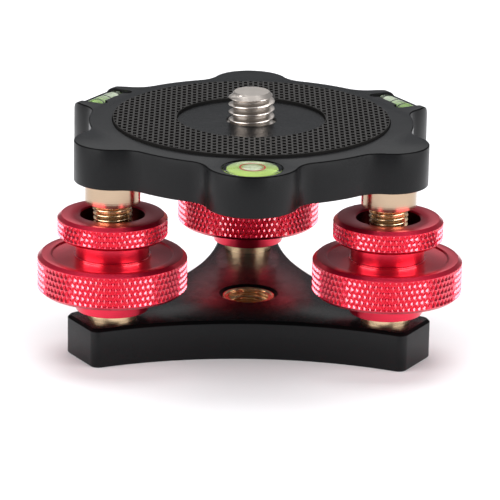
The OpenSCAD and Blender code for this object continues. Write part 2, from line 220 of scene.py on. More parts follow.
def plate_mesh(name, outline, edge, wells=()):
    """Plate whose outline is drawn in by each (height, inset) of its edge, with round wells through it.
    A well is its place and a row of (radius, height) from the plate's top down."""
    bm = bmesh.new()
    rings = [[bm.verts.new((p.x, p.y, z)) for p in outline(inset)] for z, inset in edge]
    bridge_all(bm, rings)
    bottom_rims = [rings[0]]
    top_rims = [rings[-1]]
    for place, steps in wells:
        circles = [circle(bm, r, z, ROUND, *place) for r, z in steps]
        bridge_all(bm, circles)
        top_rims.append(circles[0])
        bottom_rims.append(circles[-1])
    for rims in (bottom_rims, top_rims):
        seams = [bm.edges.get((rim[i], rim[i - 1])) or bm.edges.new((rim[i], rim[i - 1]))
                 for rim in rims for i in range(len(rim))]
        bmesh.ops.triangle_fill(bm, use_beauty=True, use_dissolve=False, edges=seams)
    return closed_mesh(name, bm)


def smooth(mesh, sharp_over=25):
    mesh.polygons.foreach_set("use_smooth", [True] * len(mesh.polygons))
    mesh.set_sharp_from_angle(angle=math.radians(sharp_over))


def piece(name, mesh, body, finish, slot, *nodes, at=(0, 0)):
    """Puts a mesh made in millimetres about its own axis in place, and fits it to its CAD body and nodes."""
    turned = mesh.attributes.new("lathe", "FLOAT_VECTOR", "POINT")
    places = [0.0] * (3 * len(mesh.vertices))
    mesh.vertices.foreach_get("co", places)
    turned.data.foreach_set("vector", places)
    mesh.transform(Matrix.Scale(MM, 4) @ Matrix.Translation((*at, 0)))
    mesh.name = name
    if finish:
        mesh.materials.clear()
        mesh.materials.append(finish)
    made = put(name, mesh)
    if nodes:
        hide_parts(*nodes)
    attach(made, body)


def new_node(tree, kind, values=None, **settings):
    """Adds a node, gives it its settings, and links or sets the inputs in values."""
    made = tree.nodes.new(kind)
    for key, value in settings.items():
        setattr(made, key, value)
    for key, value in (values or {}).items():
        socket = made.inputs[key]
        if isinstance(value, bpy.types.NodeSocket):
            tree.links.new(value, socket)
        else:
            socket.default_value = value
    return made


def wire(tree, kind, values=None, **settings):
    """Adds a node in the same way and gives its first output."""
    return new_node(tree, kind, values, **settings).outputs[0]


def maths(tree, operation, *values):
    return wire(tree, "ShaderNodeMath", dict(enumerate(values)), operation=operation)


def node_group(name, kind, inputs, outputs):
    """Starts a node group with named inputs. Gives the group, its input and its output sockets."""
    group = bpy.data.node_groups.new(name, kind)
    for label, socket_kind, value in inputs:
        socket = group.interface.new_socket(label, in_out="INPUT", socket_type="NodeSocket" + socket_kind)
        if value is not None:
            socket.default_value = value
    for label, socket_kind in outputs:
        group.interface.new_socket(label, in_out="OUTPUT", socket_type="NodeSocket" + socket_kind)
    return group, group.nodes.new("NodeGroupInput").outputs, group.nodes.new("NodeGroupOutput").inputs


# Fine grain of a blasted and anodised surface, with slow patches of more and less gloss.
FINISH_OUTPUTS = (("Colour", "Color"), ("Roughness", "Float"), ("Normal", "Vector"))
grain, grain_in, grain_out = node_group("blasted_grain", "ShaderNodeTree", [
    ("Grains per mm", "Float", 9.0), ("Depth", "Float", 0.1), ("Roughness", "Float", 0.4),
    ("Patchiness", "Float", 0.05), ("Colour", "Color", BLACK)], FINISH_OUTPUTS)
coordinates = new_node(grain, "ShaderNodeTexCoord").outputs["Object"]
in_mm = wire(grain, "ShaderNodeVectorMath", {0: coordinates, "Scale": 1 / MM}, operation="SCALE")
fine = wire(grain, "ShaderNodeTexNoise", {"Vector": in_mm, "Scale": grain_in["Grains per mm"], "Detail": 1.0})
slow = wire(grain, "ShaderNodeTexNoise", {"Vector": in_mm, "Scale": 0.16, "Detail": 3.0})
swing = maths(grain, "SUBTRACT", slow, 0.5)
patch = maths(grain, "MULTIPLY_ADD", swing, grain_in["Patchiness"], grain_in["Roughness"])
speck = maths(grain, "SUBTRACT", fine, 0.5)
gloss = maths(grain, "MULTIPLY_ADD", speck, grain_in["Depth"], patch)
tint = maths(grain, "MULTIPLY_ADD", fine, 0.5, 0.75)
shade = wire(grain, "ShaderNodeVectorMath", {0: grain_in["Colour"], "Scale": tint}, operation="SCALE")
bump = wire(grain, "ShaderNodeBump", {"Strength": grain_in["Depth"], "Distance": GRAIN_BUMP, "Height": fine})
for label, made in (("Colour", shade), ("Roughness", gloss), ("Normal", bump)):
    grain.links.new(made, grain_out[label])


def material(name, group, colour, rough, depth, patchy, plain=None, grains=None):
    """A Principled material whose Colour, Roughness and Normal come from a shared group."""
    made = bpy.data.materials.new(name)
    made.use_nodes = True
    tree = made.node_tree
    shader = tree.nodes["Principled BSDF"]
    values = {"Colour": colour, "Roughness": rough, "Depth": depth, "Patchiness": patchy}
    if grains:
        values["Grains per mm"] = grains
    holder = new_node(tree, "ShaderNodeGroup", values, node_tree=group)
    for source, target in (("Colour", "Base Color"), ("Roughness", "Roughness"), ("Normal", "Normal")):
        tree.links.new(holder.outputs[source], shader.inputs[target])
    for key, value in (plain or {}).items():
        shader.inputs[key].default_value = value
    return made


black_satin = material(
    "black_satin", grain, BLACK, rough=0.33, depth=0.3, patchy=0.12, plain={"Specular IOR Level": 0.2})
black_gloss = material(
    "black_gloss", grain, BLACK, rough=0.27, depth=0.15, patchy=0.1, plain={"Specular IOR Level": 0.18})
# A darker, duller black for the chamfers round the plates' tops: painted shade, the dark line along their top
# edges.
black_edge_painted_shade = material(
    "black_edge_painted_shade", grain, (0.002, 0.002, 0.0022, 1), rough=0.4, depth=0.15, patchy=0.1,
    plain={"Specular IOR Level": 0.03})

insert_well = ((INSERT_R + SOCKET_MOUTH, BASE_T), (INSERT_R, BASE_T - SOCKET_MOUTH), (INSERT_R, 0))
tube_well = (
    (TUBE_R, BASE_T), (TUBE_R, TUBE_BOTTOM), (SCREW_R, TUBE_BOTTOM), (SCREW_R, SCREW_CONE_TOP),
    (SCREW_HEAD_R, SCREW_HEAD_SINK), (SCREW_HEAD_R, 0))
base_wells = [((0, 0), insert_well)] + [(leg_place(leg), tube_well) for leg in LEGS]
base_mesh = plate_mesh("base_plate", base_outline, BASE_EDGE, base_wells)
smooth(base_mesh)
for finish in (black_satin, black_gloss, black_edge_painted_shade):
    base_mesh.materials.append(finish)
# The base's top face takes the glossy black, and the chamfer round its top takes the darker black, painted
# shade.
for face in base_mesh.polygons:
    if face.normal.z > 0.2 and face.center.z > BASE_T - 0.7:
        face.material_index = 1 if face.normal.z > 0.9 else 2
piece("base_plate_milled", base_mesh, "base", None, "black_anodised", "base_plate")


# Tripod insert: a brass bush with a three-eighths-inch thread, pressed in from below,
# so its rim shows a little under the plate's top at the bottom of the countersink.
INSERT_TOP = 7.9
INCH_PITCH = 25.4 / 16
SOCKET_MAJOR_R = 4.8
SOCKET_MINOR_R = 4.2
BRASS = (0.95, 0.68, 0.42, 1)
METAL = {"Metallic": 1.0}
MARK_BUMP = 0.00003


def revolved(name, profile, steps=ROUND, closed=True):
    """Solid turned from (radius, height) points about Z. An open profile starts and ends on the axis."""
    bm = bmesh.new()
    rings = [circle(bm, r, z, steps) for r, z in profile]
    bridge_all(bm, rings)
    if closed:
        bridge(bm, rings[-1], rings[0])
    return closed_mesh(name, bm)


def geo(tree, kind, values=None, **settings):
    """Wires a geometry node, named without its prefix."""
    return wire(tree, "GeometryNode" + kind, values, **settings)


def join_xyz(tree, x, y, z):
    return wire(tree, "ShaderNodeCombineXYZ", {"X": x, "Y": y, "Z": z})


def split_xyz(tree, vector):
    return new_node(tree, "ShaderNodeSeparateXYZ", {0: vector}).outputs


def from_axis(tree, x, y):
    """Distance from the Z axis."""
    flat = join_xyz(tree, x, y, 0)
    return new_node(tree, "ShaderNodeVectorMath", {0: flat}, operation="LENGTH").outputs["Value"]


def joined(tree, *parts):
    whole = tree.nodes.new("GeometryNodeJoinGeometry")
    for part in parts:
        tree.links.new(part, whole.inputs[0])
    return whole.outputs[0]


# Screw thread: a grid wound into a helix, so that every row keeps its place on the thread's profile.
# Rows past the ends are pressed flat, and a cone at the top cuts the first turn.
THREAD_STEPS = 12
THREAD_SIDES = 64
FLANK_SLOPE = 1.5
ROOT_FLAT = 0.3
WELD = 0.001
thread, thread_in, thread_out = node_group("screw_thread", "GeometryNodeTree", [
    ("Geometry", "Geometry", None), ("Major radius", "Float", 4.0), ("Minor radius", "Float", 3.4),
    ("Pitch", "Float", 1.0), ("Bottom", "Float", 0.0), ("Top", "Float", 10.0), ("Tip radius", "Float", 3.0),
    ("Inside", "Bool", False), ("Material", "Material", None)], [("Geometry", "Geometry")])
pitch = thread_in["Pitch"]
bottom = thread_in["Bottom"]
top = thread_in["Top"]
length = maths(thread, "SUBTRACT", top, bottom)
turns = maths(thread, "ADD", maths(thread, "CEIL", maths(thread, "DIVIDE", length, pitch)), 2)
rows = maths(thread, "MULTIPLY_ADD", turns, THREAD_STEPS, 1)
sheet = geo(thread, "MeshGrid", {
    "Size X": 1, "Size Y": 1, "Vertices X": THREAD_SIDES + 1, "Vertices Y": rows})
spread = split_xyz(thread, geo(thread, "InputPosition"))
around = maths(thread, "ADD", spread["X"], 0.5)
climb = maths(thread, "MULTIPLY", maths(thread, "ADD", spread["Y"], 0.5), turns)
phase = maths(thread, "FRACT", maths(thread, "ADD", climb, 0.0001))
flank = maths(thread, "SUBTRACT", 1, maths(thread, "ABSOLUTE", maths(thread, "MULTIPLY_ADD", phase, 2, -1)))
crest = wire(thread, "ShaderNodeClamp", {
    "Value": maths(thread, "MULTIPLY_ADD", flank, FLANK_SLOPE, -ROOT_FLAT)})
depth = maths(thread, "SUBTRACT", thread_in["Major radius"], thread_in["Minor radius"])
cut_radius = maths(thread, "MULTIPLY_ADD", crest, depth, thread_in["Minor radius"])
screwed_up = maths(thread, "SUBTRACT", maths(thread, "ADD", climb, around), 1.5)
free_height = maths(thread, "MULTIPLY_ADD", screwed_up, pitch, bottom)
height = maths(thread, "MINIMUM", maths(thread, "MAXIMUM", free_height, bottom), top)
tip_cone = maths(thread, "ADD", thread_in["Tip radius"], maths(thread, "SUBTRACT", top, height))
cut_radius = geo(thread, "Switch", {
    "Switch": thread_in["Inside"], "False": maths(thread, "MINIMUM", cut_radius, tip_cone),
    "True": cut_radius}, input_type="FLOAT")
angle = maths(thread, "MULTIPLY", around, math.tau)
helix_x = maths(thread, "MULTIPLY", cut_radius, maths(thread, "COSINE", angle))
helix_y = maths(thread, "MULTIPLY", cut_radius, maths(thread, "SINE", angle))
wound = geo(thread, "SetPosition", {
    "Geometry": sheet, "Position": join_xyz(thread, helix_x, helix_y, height)})
welded = geo(thread, "MergeByDistance", {"Geometry": wound, "Distance": WELD})
inward = geo(thread, "FlipFaces", {"Mesh": welded})
core = geo(thread, "MeshCylinder", {
    "Vertices": THREAD_SIDES, "Radius": thread_in["Tip radius"], "Depth": length})
core_middle = join_xyz(thread, 0, 0, maths(thread, "MULTIPLY_ADD", length, 0.5, bottom))
core_set = geo(thread, "Transform", {"Geometry": core, "Translation": core_middle})
chosen = geo(thread, "Switch", {
    "Switch": thread_in["Inside"], "False": joined(thread, thread_in["Geometry"], welded, core_set),
    "True": joined(thread, thread_in["Geometry"], inward)}, input_type="GEOMETRY")
real = geo(thread, "RealizeInstances", {"Geometry": chosen})
dressed = geo(thread, "SetMaterial", {"Geometry": real, "Material": thread_in["Material"]})
thread.links.new(dressed, thread_out["Geometry"])


def grown(mesh, tree, values):
    """Runs a Geometry Nodes tree on a mesh and returns the result as a plain mesh."""
    holder = put("workpiece", mesh)
    modifier = holder.modifiers.new("grow", "NODES")
    modifier.node_group = tree
    for item in tree.interface.items_tree:
        if item.in_out == "INPUT" and item.name in values:
            modifier[item.identifier] = values[item.name]
    holder.update_tag()
    depsgraph = bpy.context.evaluated_depsgraph_get()
    result = bpy.data.meshes.new_from_object(holder.evaluated_get(depsgraph), depsgraph=depsgraph)
    holder.modifiers.remove(modifier)
    bpy.data.objects.remove(holder)
    return result


# Turning marks that run round a lathe's axis, over the faces and down the sides alike.
lathe, lathe_in, lathe_out = node_group("turned_marks", "ShaderNodeTree", [
    ("Marks per mm", "Float", 7.0), ("Depth", "Float", 0.2), ("Roughness", "Float", 0.3),
    ("Patchiness", "Float", 0.1), ("Colour", "Color", BRASS)], FINISH_OUTPUTS)
own_place = new_node(lathe, "ShaderNodeAttribute", attribute_name="lathe").outputs["Vector"]
own_parts = split_xyz(lathe, own_place)
track = maths(lathe, "ADD", from_axis(lathe, own_parts["X"], own_parts["Y"]), own_parts["Z"])
marks = wire(lathe, "ShaderNodeTexNoise", {
    "W": track, "Scale": lathe_in["Marks per mm"], "Detail": 2.0}, noise_dimensions="1D")
cloud = wire(lathe, "ShaderNodeTexNoise", {"Vector": own_place, "Scale": 0.35, "Detail": 3.0})
mixed = maths(lathe, "ADD", maths(lathe, "MULTIPLY", marks, 0.6), maths(lathe, "MULTIPLY", cloud, 0.4))
wander = maths(lathe, "SUBTRACT", mixed, 0.5)
rough = maths(lathe, "MULTIPLY_ADD", wander, lathe_in["Patchiness"], lathe_in["Roughness"])
tone = maths(lathe, "MULTIPLY_ADD", mixed, 0.3, 0.85)
toned = wire(lathe, "ShaderNodeVectorMath", {0: lathe_in["Colour"], "Scale": tone}, operation="SCALE")
ridges = wire(lathe, "ShaderNodeBump", {
    "Strength": lathe_in["Depth"], "Distance": MARK_BUMP, "Height": marks})
for label, made in (("Colour", toned), ("Roughness", rough), ("Normal", ridges)):
    lathe.links.new(made, lathe_out[label])

brass_turned = material("brass_turned", lathe, BRASS, rough=0.27, depth=0.2, patchy=0.16, plain=METAL)

insert_mesh = revolved("tripod_insert", [
    (SOCKET_MAJOR_R + 0.02, 0), (INSERT_R, 0), (INSERT_R, INSERT_TOP - 0.1), (INSERT_R - 0.1, INSERT_TOP),
    (SOCKET_MAJOR_R + 0.25, INSERT_TOP), (SOCKET_MAJOR_R + 0.02, INSERT_TOP - 0.25)])
insert_mesh = grown(insert_mesh, thread, {
    "Major radius": SOCKET_MAJOR_R + 0.03, "Minor radius": SOCKET_MINOR_R, "Pitch": INCH_PITCH,
    "Bottom": 0.05, "Top": INSERT_TOP - 0.3, "Tip radius": SOCKET_MAJOR_R, "Inside": True,
    "Material": brass_turned})
smooth(insert_mesh, 35)
piece("tripod_insert_threaded", insert_mesh, "base", brass_turned, "brass", "tripod_insert")


# Guide tubes: brass, pressed into the arms, each with a flange that carries its wheel.
# A countersunk steel screw holds each from below, and a thin bearing washer lies on each flange.
steel_turned = material(
    "steel_turned", lathe, (0.64, 0.58, 0.53, 1), rough=0.33, depth=0.3, patchy=0.14, plain=METAL)
bearing_plastic = material("bearing_plastic", grain, (0.72, 0.7, 0.64, 1), rough=0.5, depth=0.1, patchy=0.1)
brass_plain = material("brass_plain", grain, BRASS, rough=0.3, depth=0.15, patchy=0.12, plain=METAL)
steel_plain = material(
    "steel_plain", grain, (0.6, 0.58, 0.55, 1), rough=0.3, depth=0.15, patchy=0.12, plain=METAL)


def dress(node, finish):
    """Gives a CAD node that stays in view its finish."""
    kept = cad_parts[node]
    if not kept.material_slots:
        kept.data.materials.append(finish)
    for held in kept.material_slots:
        held.material = finish


dress("tube_screws", steel_plain)
dress("thrust_washers", bearing_plastic)
dress("retaining_rings", steel_plain)
for leg in LEGS:
    dress(leg + "_ball_cup", bearing_plastic)
    for part in ("_guide_tube", "_drive_nut", "_lock_bush"):
        dress(leg + part, brass_plain)


# Adjusting wheels: turned from aluminium with a hub below and a shallow dish on top,
# knurled round the rim, chamfered beside the knurling, and anodised bright red.
HUB_Z = 10.2
HUB_R = 7.5
WHEEL_BORE_R = 4.45
WEB_TOP = 12.5
NUT_R = 5.9
WHEEL_Z = 14.3
WHEEL_TOP = 22.0
WHEEL_R = 15.3
WHEEL_TEETH = 82
WHEEL_ROWS = 6
DISH_R = 12.2
DISH_DEPTH = 0.4
RIM_CHAMFER = 0.8
RIM_LAND = 0.08
TOOTH = 0.42
TOOTH_SEAT = 0.08
RED = (0.7, 0.007, 0.042, 1)

knurl, knurl_in, knurl_out = node_group("diamond_knurl", "GeometryNodeTree", [
    ("Geometry", "Geometry", None), ("Radius", "Float", WHEEL_R), ("Bottom", "Float", 0.0),
    ("Top", "Float", 6.1), ("Around", "Int", WHEEL_TEETH), ("Rows", "Int", WHEEL_ROWS),
    ("Tooth", "Float", TOOTH), ("Flat", "Float", 0.3), ("Material", "Material", None)],
    [("Geometry", "Geometry")])
rim_low = knurl_in["Bottom"]
rim_high = knurl_in["Top"]
around_rim = knurl_in["Around"]
row_gaps = maths(knurl, "SUBTRACT", knurl_in["Rows"], 1)
row_step = maths(knurl, "DIVIDE", maths(knurl, "SUBTRACT", rim_high, rim_low), row_gaps)
number = geo(knurl, "InputIndex")
row = maths(knurl, "FLOOR", maths(knurl, "DIVIDE", number, around_rim))
place = maths(knurl, "MODULO", number, around_rim)
stagger = maths(knurl, "MULTIPLY", maths(knurl, "MODULO", row, 2), 0.5)
tooth_turn = maths(knurl, "MULTIPLY", maths(knurl, "ADD", place, stagger),
                   maths(knurl, "DIVIDE", math.tau, around_rim))
root = maths(knurl, "SUBTRACT", maths(knurl, "SUBTRACT", knurl_in["Radius"], knurl_in["Tooth"]), TOOTH_SEAT)
tooth_x = maths(knurl, "MULTIPLY", root, maths(knurl, "COSINE", tooth_turn))
tooth_y = maths(knurl, "MULTIPLY", root, maths(knurl, "SINE", tooth_turn))
tooth_z = maths(knurl, "MULTIPLY_ADD", row, row_step, rim_low)
seeds = geo(knurl, "Points", {
    "Count": maths(knurl, "MULTIPLY", around_rim, knurl_in["Rows"]),
    "Position": join_xyz(knurl, tooth_x, tooth_y, tooth_z)})
pyramid = geo(knurl, "MeshCone", {
    "Vertices": 4, "Radius Top": knurl_in["Flat"], "Radius Bottom": 1.0, "Depth": 1.0})
half_width = maths(knurl, "DIVIDE", maths(knurl, "MULTIPLY", knurl_in["Radius"], math.pi), around_rim)
tooth_height = maths(knurl, "ADD", knurl_in["Tooth"], TOOTH_SEAT)
shaped = geo(knurl, "Transform", {
    "Geometry": pyramid, "Rotation": (0, math.pi / 2, 0),
    "Scale": join_xyz(knurl, row_step, half_width, tooth_height)})
turned_out = wire(knurl, "FunctionNodeEulerToRotation", {0: join_xyz(knurl, 0, 0, tooth_turn)})
teeth = geo(knurl, "InstanceOnPoints", {
    "Points": seeds, "Instance": shaped, "Rotation": turned_out})
loose = geo(knurl, "RealizeInstances", {"Geometry": teeth})
where = split_xyz(knurl, geo(knurl, "InputPosition"))
kept_height = maths(knurl, "MINIMUM", maths(knurl, "MAXIMUM", where["Z"], rim_low), rim_high)
trimmed = geo(knurl, "SetPosition", {
    "Geometry": loose, "Position": join_xyz(knurl, where["X"], where["Y"], kept_height)})
crisp = geo(knurl, "SetShadeSmooth", {"Geometry": trimmed, "Shade Smooth": False})
teeth_dressed = geo(knurl, "SetMaterial", {"Geometry": crisp, "Material": knurl_in["Material"]})
knurl.links.new(joined(knurl, knurl_in["Geometry"], teeth_dressed), knurl_out["Geometry"])

red_turned = material(
    "red_turned", lathe, RED, rough=0.3, depth=0.05, patchy=0.12,
    plain={"Metallic": 0.9, "Coat Weight": 0.6, "Coat Roughness": 0.25})
# A lighter copy of the red with a strong coat, for the knurling's teeth and the washers: painted highlight.
red_painted_highlight = material(
    "red_painted_highlight", lathe, (0.8, 0.01, 0.055, 1), rough=0.25, depth=0.05, patchy=0.12,
    plain={"Metallic": 0.9, "Coat Weight": 1.0, "Coat IOR": 2.0, "Coat Roughness": 0.1})
# A near-black red for the inside of the lock wheels' wells: painted shade in the recess.
red_well_painted_shade = material(
    "red_well_painted_shade", lathe, (0.06, 0.002, 0.004, 1), rough=0.5, depth=0.05, patchy=0.12, plain={"Metallic": 0.9})


def rim_profile(radius, low, high):
    """A wheel's rim from its lower face to its upper one: two chamfers and a sunk band for the teeth."""
    face_r = radius - RIM_CHAMFER
    land_r = radius - RIM_LAND
    root_r = radius - TOOTH
    band_low = low + RIM_CHAMFER
    band_high = high - RIM_CHAMFER
    return [
        (face_r - 0.1, low), (face_r, low + 0.03), (land_r, band_low - 0.1), (land_r, band_low),
        (root_r, band_low), (root_r, band_high), (land_r, band_high), (land_r, band_high + 0.1),
        (face_r, high - 0.04), (face_r - 0.15, high)]


def knurled(mesh, radius, low, high, around, rows):
    return grown(mesh, knurl, {
        "Radius": radius, "Bottom": low + RIM_CHAMFER, "Top": high - RIM_CHAMFER,
        "Around": around, "Rows": rows, "Material": red_painted_highlight})


dish_floor = WHEEL_TOP - DISH_DEPTH
wheel_profile = [
    (WHEEL_BORE_R, HUB_Z), (HUB_R - 0.3, HUB_Z), (HUB_R - 0.06, HUB_Z + 0.06), (HUB_R, HUB_Z + 0.3),
    (HUB_R, WHEEL_Z - 0.15), (HUB_R + 0.15, WHEEL_Z)] + rim_profile(WHEEL_R, WHEEL_Z, WHEEL_TOP) + [
    (DISH_R + DISH_DEPTH + 0.1, WHEEL_TOP), (DISH_R + DISH_DEPTH - 0.05, WHEEL_TOP - 0.05),
    (DISH_R + 0.05, dish_floor + 0.05), (DISH_R - 0.1, dish_floor), (NUT_R, dish_floor), (NUT_R, WEB_TOP),
    (WHEEL_BORE_R, WEB_TOP)]
for leg in LEGS:
    wheel_mesh = revolved(leg + "_wheel", wheel_profile, 144)
    smooth(wheel_mesh)
    wheel_mesh.materials.append(red_turned)
    wheel_mesh = knurled(wheel_mesh, WHEEL_R, WHEEL_Z, WHEEL_TOP, WHEEL_TEETH, WHEEL_ROWS)
    piece(leg + "_wheel_knurled", wheel_mesh, leg + "_wheel", None, "red_anodised",
          leg + "_adjusting_wheel", at=leg_place(leg))


# Lock wheels: smaller knurled wheels on a plain neck, with a well in the top round the stud, painted
# near-black inside as shade.
# Each stands on a thin washer in the lighter red, a painted highlight, that shows as a bright ring at the
# foot of the neck.
LOCK_Z = 21.95
LOCK_BORE_R = 6
NECK_R = 7.5
NECK_TOP = 25.5
LOCK_TOP = 30.4
LOCK_R = 11.25
LOCK_TEETH = 60
LOCK_ROWS = 4
WELL_R = 6.6
WELL_DEPTH = 3.6
WASHER_BORE_R = 4.3
WASHER_R = 7.9
WASHER_Z = 21.6
WASHER_TOP = 21.9
lock_profile = [
    (LOCK_BORE_R, LOCK_Z), (NECK_R - 0.03, LOCK_Z), (NECK_R, LOCK_Z + 0.03), (NECK_R, NECK_TOP - 0.1),
    (NECK_R + 0.1, NECK_TOP)] + rim_profile(LOCK_R, NECK_TOP, LOCK_TOP) + [
    (WELL_R + 0.35, LOCK_TOP), (WELL_R + 0.25, LOCK_TOP - 0.04), (WELL_R, LOCK_TOP - 0.3),
    (WELL_R, LOCK_TOP - WELL_DEPTH), (LOCK_BORE_R, LOCK_TOP - WELL_DEPTH)]
washer_profile = [
    (WASHER_BORE_R, WASHER_Z), (WASHER_R - 0.05, WASHER_Z), (WASHER_R, WASHER_Z + 0.05),
    (WASHER_R, WASHER_TOP - 0.06), (WASHER_R - 0.06, WASHER_TOP), (WASHER_BORE_R, WASHER_TOP)]
for leg in LEGS:
    lock_mesh = revolved(leg + "_lock", lock_profile, 120)
    smooth(lock_mesh)
    lock_mesh.materials.append(red_turned)
    lock_mesh.materials.append(red_well_painted_shade)
    # Faces inside the well take the near-black red, painted shade.
    for face in lock_mesh.polygons:
        if face.center.xy.length < WELL_R + 0.05 and face.center.z > NECK_TOP:
            face.material_index = 1
    lock_mesh = knurled(lock_mesh, LOCK_R, NECK_TOP, LOCK_TOP, LOCK_TEETH, LOCK_ROWS)
    piece(leg + "_lock_knurled", lock_mesh, leg + "_lock", None, "red_anodised",
          leg + "_lock_wheel", at=leg_place(leg))
    # The washer takes the lighter red, painted highlight.
    washer_mesh = revolved(leg + "_washer", washer_profile)
    smooth(washer_mesh)
    piece(leg + "_washer_ring", washer_mesh, leg + "_washer", red_painted_highlight, "red_anodised",
          leg + "_lock_washer", at=leg_place(leg))


# Studs: brass, eight millimetres over a one-millimetre thread, with a keyed shank below
# and a ball above that the socket collar in the top plate holds.
STUD_R = 4.0
STUD_ROOT_R = 3.38
STUD_SHANK_R = 3
STUD_NECK_R = 2.3
STUD_TIP_R = 3.2
STUD_PITCH = 1.0
THREAD_LOW = 16.05
THREAD_HIGH = 33.9
SHANK_LOW = 7.5
BALL_Z = 38.4
BALL_R = 3.4


def curve(centre, radii, start, stop, steps):
    """Profile points along part of an ellipse, both its ends included."""
    turns = [math.radians(start + (stop - start) * i / steps) for i in range(steps + 1)]
    return [(centre[0] + radii[0] * math.cos(t), centre[1] + radii[1] * math.sin(t)) for t in turns]


stud_profile = [
    (0, SHANK_LOW), (STUD_SHANK_R - 0.2, SHANK_LOW), (STUD_SHANK_R, SHANK_LOW + 0.2),
    (STUD_SHANK_R, THREAD_LOW + 0.2), (STUD_NECK_R, THREAD_LOW + 0.2), (STUD_NECK_R, BALL_Z - 2.5)
    ] + curve((0, BALL_Z), (BALL_R, BALL_R), -47, 90, 16)
for leg in LEGS:
    stud_mesh = revolved(leg + "_stud", stud_profile, 64, closed=False)
    stud_mesh = grown(stud_mesh, thread, {
        "Major radius": STUD_R, "Minor radius": STUD_ROOT_R, "Pitch": STUD_PITCH, "Bottom": THREAD_LOW,
        "Top": THREAD_HIGH, "Tip radius": STUD_TIP_R, "Material": brass_turned})
    smooth(stud_mesh, 35)
    piece(leg + "_stud_threaded", stud_mesh, leg + "_leg", brass_turned, "brass",
          leg + "_stud", at=leg_place(leg))


# Socket collars: turned brass, pressed into the top plate from below, with a cavity for ball and liner.
# They show as plain satin bands between the plate and the lock wheels, their brass painted darker than the
# other brass as painted shade.
COLLAR_Z = 32.9
COLLAR_TOP = 43.8
COLLAR_R = 5.65
MOUTH_R = 4.95
MOUTH_TOP = 34.6
CAVITY_R = 4.7
CAVITY_LIP_R = 3.6
collar_profile = [
    (MOUTH_R, COLLAR_Z + 0.05), (MOUTH_R + 0.05, COLLAR_Z), (COLLAR_R - 0.15, COLLAR_Z),
    (COLLAR_R - 0.04, COLLAR_Z + 0.04), (COLLAR_R, COLLAR_Z + 0.15), (COLLAR_R, COLLAR_TOP - 0.15),
    (COLLAR_R - 0.15, COLLAR_TOP), (CAVITY_R, COLLAR_TOP)
    ] + curve((0, BALL_Z), (CAVITY_R, CAVITY_R), 0, -40, 10) + [
    (CAVITY_LIP_R, MOUTH_TOP), (MOUTH_R, MOUTH_TOP)]
# A darker copy of the brass for the collars: painted shade, standing in for the dark reflections they show.
brass_satin_painted_shade = material(
    "brass_satin_painted_shade", lathe, (0.5, 0.37, 0.26, 1), rough=0.15, depth=0.2, patchy=0.16, plain=METAL)
for leg in LEGS:
    collar_mesh = revolved(leg + "_collar", collar_profile)
    smooth(collar_mesh)
    piece(leg + "_collar_turned", collar_mesh, "plate", brass_satin_painted_shade, "brass",
          leg + "_socket_collar", at=leg_place(leg))


# Top plate: a six-lobed aluminium plate, milled and anodised black. Three lobes stand over the legs,
# the front one holds the round level, and the two at the back are cut flat for the tube levels.
PLATE_Z = 37.4
PLATE_TOP = 46.0
PLATE_R = 33.5
LOBE_R = 7.9
LEVEL_LOBE_R = 9.3
BULLSEYE_LOBE_C = 32.8
BLEND_R = 6.0
PLATE_EDGE = (
    (37.4, 0.27), (37.43, 0.18), (37.56, 0.03), (37.64, 0),
    (45.76, 0), (45.84, 0.03), (45.97, 0.18), (46.0, 0.27))
# Round level
BULLSEYE_AT = 270
BULLSEYE_C = 35.6
BULLSEYE_R = 6.0
BULLSEYE_DEPTH = 5.3
# Tube levels, their pockets and the rounded noses over them
VIALS = {"left": 150, "right": 30}
VIAL_C = 36.15
VIAL_Z = 43.0
VIAL_R = 2.6
VIAL_HALF = 6.0
POCKET_LIP = 0.25
POCKET_HALF = 6.1
RELIEF_R = 1.3
RELIEF_Z = 40.4
NOSE_R = 2.2
NOSE_HALF = 12
NOSE_C = 36.95
NOSE_Z = 43.8
# Grip ring's groove and camera screw's bore
GRIP_R = 28.6
GRIP_BORE_R = 15.35
GRIP_T = 1.7
GRIP_PROUD = 0.65
CAMERA_SHANK_R = 5.1125
FLANGE_HOLE_R = 8.05
FLANGE_TOP = 40.1
FAR_BELOW = 36


def lobe_outline(a, c, r, inset):
    """Sixty degrees of the outline: the plate's round, a blend, the lobe, a blend and the round again."""
    reach = PLATE_R + BLEND_R
    plate_turn = math.degrees(math.acos((reach ** 2 + c ** 2 - (r + BLEND_R) ** 2) / (2 * reach * c)))
    blend = polar(reach, plate_turn)
    lobe_turn = math.degrees(math.atan2(blend.y, blend.x - c))
    return (
        arc((0, 0), PLATE_R - inset, a - 30, a - plate_turn, 8)
        + arc(polar(reach, a - plate_turn), BLEND_R + inset, a + 180 - plate_turn, a + 180 - lobe_turn, 12)
        + arc(polar(c, a), r - inset, a - lobe_turn, a + lobe_turn, 56)
        + arc(polar(reach, a + plate_turn), BLEND_R + inset, a - 180 + lobe_turn, a - 180 + plate_turn, 12)
        + arc((0, 0), PLATE_R - inset, a + plate_turn, a + 30, 8))


def plate_outline(inset):
    points = []
    for a in (30, 150, BULLSEYE_AT):
        points += lobe_outline(a, BULLSEYE_LOBE_C if a == BULLSEYE_AT else LEG_CIRCLE, LEVEL_LOBE_R, inset)
        points += lobe_outline(a + 60, LEG_CIRCLE, LOBE_R, inset)
    return points


def carved(mesh, cutters):
    """Cuts closed meshes out of a closed mesh."""
    body = put("workpiece", mesh)
    tools = [put("cutter", cutter) for cutter in cutters]
    for tool in tools:
        step = body.modifiers.new("cut", "BOOLEAN")
        step.operation = "DIFFERENCE"
        step.solver = "EXACT"
        step.object = tool
    depsgraph = bpy.context.evaluated_depsgraph_get()
    result = bpy.data.meshes.new_from_object(body.evaluated_get(depsgraph), depsgraph=depsgraph)
    for spent in [body] + tools:
        bpy.data.objects.remove(spent)
    return result


